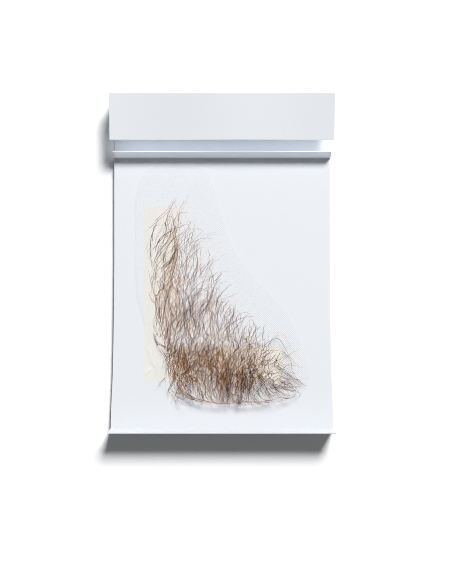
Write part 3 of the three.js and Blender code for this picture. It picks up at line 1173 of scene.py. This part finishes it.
def tube_mesh(name: str, points: np.ndarray, tubes: int, rings: int, sides: int) -> bpy.types.Mesh:
    """Join many closed tubes of the same build in one mesh, each with its own patch of the bake map.

    Args:
        name: the mesh's name.
        points: the corners, ring by ring and tube by tube.
        tubes: how many tubes there are.
        rings: rings in each tube.
        sides: corners in each ring.

    Returns:
        The mesh.
    """
    k, j = np.meshgrid(np.arange(rings - 1), np.arange(sides), indexing="ij")
    after = (j + 1) % sides
    quads = np.stack([k * sides + j, k * sides + after, (k + 1) * sides + after, (k + 1) * sides + j], 2)
    root = np.arange(sides)[::-1]
    tip = np.arange(sides) + (rings - 1) * sides
    starts = np.arange(tubes)[:, None, None] * rings * sides
    walls = (quads.reshape(-1, 4)[None] + starts).reshape(-1, 4)
    ends = (np.stack([root, tip])[None] + starts).reshape(-1, sides)
    mesh = bpy.data.meshes.new(name)
    mesh.from_pydata(points, [], walls.tolist() + ends.tolist())
    mesh.shade_smooth()
    # Each tube has a square patch with a margin. Its wall fills the patch, and its ends lie over two sides.
    across = math.ceil(math.sqrt(tubes))
    cell = 1 / across
    inset = 0.08
    corner = np.stack([np.arange(tubes) % across, np.arange(tubes) // across], 1) * cell
    u = np.stack([j, j + 1, j + 1, j], 2) / sides
    v = np.stack([k, k, k + 1, k + 1], 2) / (rings - 1)
    wall_uv = np.stack([u, v], 3).reshape(-1, 2)
    end_uv = np.array([(0.2, 0.02), (0.5, 0.1), (0.8, 0.02), (0.2, 0.98), (0.5, 0.9), (0.8, 0.98)])
    patches = [corner[:, None] + cell * (inset + (1 - 2 * inset) * uv) for uv in (wall_uv, end_uv)]
    flat = np.concatenate([patch.reshape(-1, 2) for patch in patches])
    mesh.uv_layers.new(name="OFBake").data.foreach_set("uv", flat.astype(np.float32).ravel())
    return mesh


@dataclass
class HairKnots:
    """The small knots that tie the hairs to the lace, joined in one mesh."""

    dice: np.random.Generator
    radius: float = 0.16 * MM
    size_range: Pair = (0.6, 1.2)
    palest: float = 0.5

    def build(self, roots: np.ndarray, material: bpy.types.Material) -> bpy.types.Object:
        """Set a small ball at each root.

        Args:
            roots: where the hairs are tied.
            material: the hair's finish.

        Returns:
            The joined knots.
        """
        bm = bmesh.new()
        bmesh.ops.create_icosphere(bm, subdivisions=1, radius=self.radius)
        ball = np.array([v.co for v in bm.verts])
        faces = np.array([[v.index for v in f.verts] for f in bm.faces])
        bm.free()
        n = len(roots)
        size = self.dice.uniform(*self.size_range, n)[:, None, None]
        points = (roots[:, None] + ball[None] * size).reshape(-1, 3)
        corners = (faces[None] + np.arange(n)[:, None, None] * len(ball)).reshape(-1, 3)
        mesh = bpy.data.meshes.new("hair_knots")
        mesh.from_pydata(points, [], corners)
        mesh.shade_smooth()
        give_tones(mesh, np.repeat(self.palest * self.dice.random(n), len(ball)))
        piece = new_piece("hair_knots", mesh, material)
        hold(piece, "hair")
        return piece


@dataclass(frozen=True)
class Softbox:
    """A flat lamp that the camera doesn't see, with its power in watts and the point that it faces."""

    name: str
    tint: str
    size: Pair
    power: float
    place: Triple
    aim: Triple
    spread_deg: float = 180

    def hang(self) -> None:
        """Hang the lamp in its place, turned to its aim."""
        lamp = bpy.data.lights.new(self.name, "AREA")
        lamp.shape = "RECTANGLE"
        lamp.size, lamp.size_y = self.size
        lamp.energy = self.power
        lamp.color = linear(self.tint)[:3]
        lamp.spread = math.radians(self.spread_deg)
        holder = bpy.data.objects.new(self.name, lamp)
        holder.location = self.place
        facing = Vector(self.aim) - Vector(self.place)
        holder.rotation_euler = facing.to_track_quat("-Z", "Y").to_euler()
        holder.visible_camera = False
        bpy.context.scene.collection.objects.link(holder)


# The soft lamp, then two weak cool ones that open the shadows under the header and on the lip's face.
SOFTBOXES = (
    Softbox("soft_lamp", "#ffffff", (3.4, 3.4), 1860, (3.25, 7.75, 8.5), (0, 0, 0)),
    Softbox("fold_fill", "#ebf2ff", (117 * MM, 4 * MM), 0.0029, (0, 62.5 * MM, 9 * MM), (0, 62.5 * MM, 0)),
    Softbox(
        "lip_fill", "#ebf2ff", (114 * MM, 8 * MM), 0.00095, (0, 44 * MM, 7.5 * MM), (0, 1, 7.5 * MM), 20
    ),
)


@dataclass
class Studio:
    """The white table, the lamps, the dimly lit room and the camera straight above."""

    lens_px: float = 1152.4
    frame_px: float = 584
    sensor_mm: float = 36
    height: float = 620 * MM
    aim_x: float = 2.1 * MM
    aim_y: float = -15.0 * MM
    near: float = 0.01
    picture_filter: float = 0.9
    softboxes: tuple[Softbox, ...] = SOFTBOXES
    sky: float = 0.145
    sky_colour: str = "#f7fbff"
    card_half: Triple = (59 * MM, 89 * MM, 1.0)
    table_half: float = 20.0
    table_colour: str = "#ffffff"
    table_roughness: float = 0.8
    glow_start: float = 22 * MM
    glow_end: float = 60 * MM
    glow: float = 0.4

    def floor(self) -> None:
        """Lay a plain white table under the card, lit up to full white away from it."""
        bm = bmesh.new()
        bmesh.ops.create_grid(bm, x_segments=1, y_segments=1, size=self.table_half)
        material, tree, shader = new_material("white_table")
        place = add_node(tree, "ShaderNodeTexCoord", {}, {}).outputs["Object"]
        sides = add_node(tree, "ShaderNodeVectorMath", {"operation": "ABSOLUTE"}, {0: place})
        past = add_node(
            tree,
            "ShaderNodeVectorMath",
            {"operation": "SUBTRACT"},
            {0: sides.outputs[0], 1: self.card_half},
        )
        out = add_node(
            tree, "ShaderNodeVectorMath", {"operation": "MAXIMUM"}, {0: past.outputs[0], 1: (0, 0, 0)}
        )
        away = add_node(tree, "ShaderNodeVectorMath", {"operation": "LENGTH"}, {0: out.outputs[0]})
        glow = add_node(
            tree,
            "ShaderNodeMapRange",
            {},
            {0: away.outputs["Value"], 1: self.glow_start, 2: self.glow_end, 3: 0.0, 4: self.glow},
        )
        tree.links.new(glow.outputs[0], shader.inputs["Emission Strength"])
        shader.inputs["Emission Color"].default_value = linear(self.table_colour)
        shader.inputs["Base Color"].default_value = linear(self.table_colour)
        shader.inputs["Roughness"].default_value = self.table_roughness
        new_piece("table", mesh_of(bm, "table"), material)

    def lights(self) -> None:
        """Hang the lamps and light the room dimly."""
        for softbox in self.softboxes:
            softbox.hang()
        room = bpy.data.worlds.new("room")
        room.use_nodes = True
        background = room.node_tree.nodes["Background"]
        background.inputs["Color"].default_value = linear(self.sky_colour)
        background.inputs["Strength"].default_value = self.sky
        bpy.context.scene.world = room

    def camera(self) -> None:
        """Set the camera straight above, with the photograph's frame."""
        lens = bpy.data.cameras.new("above")
        lens.sensor_width = self.sensor_mm
        lens.lens = self.sensor_mm * self.lens_px / self.frame_px
        lens.clip_start = self.near
        holder = bpy.data.objects.new("above", lens)
        holder.location = (self.aim_x, self.aim_y, self.height)
        scene = bpy.context.scene
        scene.collection.objects.link(holder)
        scene.camera = holder
        scene.view_settings.view_transform = "Standard"
        scene.cycles.filter_width = self.picture_filter


def main() -> None:
    """Build and dress every piece in order, and report each."""
    logging.basicConfig(level=logging.INFO)
    form = CardForm()
    studio = Studio()
    studio.floor()
    studio.lights()
    studio.camera()
    pieces = DisplayCard(form, WHITE_BOARD, FOOT_BOARD_PAINTED_SHADE).build()
    tape = TISSUE_TAPE.material()
    pieces.append(TapeStrip("tape_upright_strip", "tape_upright", form, TAPE_WRINKLES).build(tape))
    pieces.append(TapeStrip("tape_cross_strip", "tape_cross", form).build(tape))
    pieces.append(LaceBase(form, NetFinish()).build())
    hair = HairFinish().material()
    dice = [np.random.default_rng(SEED + i) for i in range(len(HAIR_ZONES) + 1)]
    roots = []
    for zone, zone_dice in zip(HAIR_ZONES, dice):
        strands, tied = HairStrands(zone, form, zone_dice).build(hair)
        pieces += strands
        roots.append(tied)
    pieces.append(HairKnots(dice[-1]).build(np.concatenate(roots), hair))
    for piece in pieces:
        LOG.info("%s: %d faces", piece.name, len(piece.data.polygons))


if __name__ == "__main__":
    main()
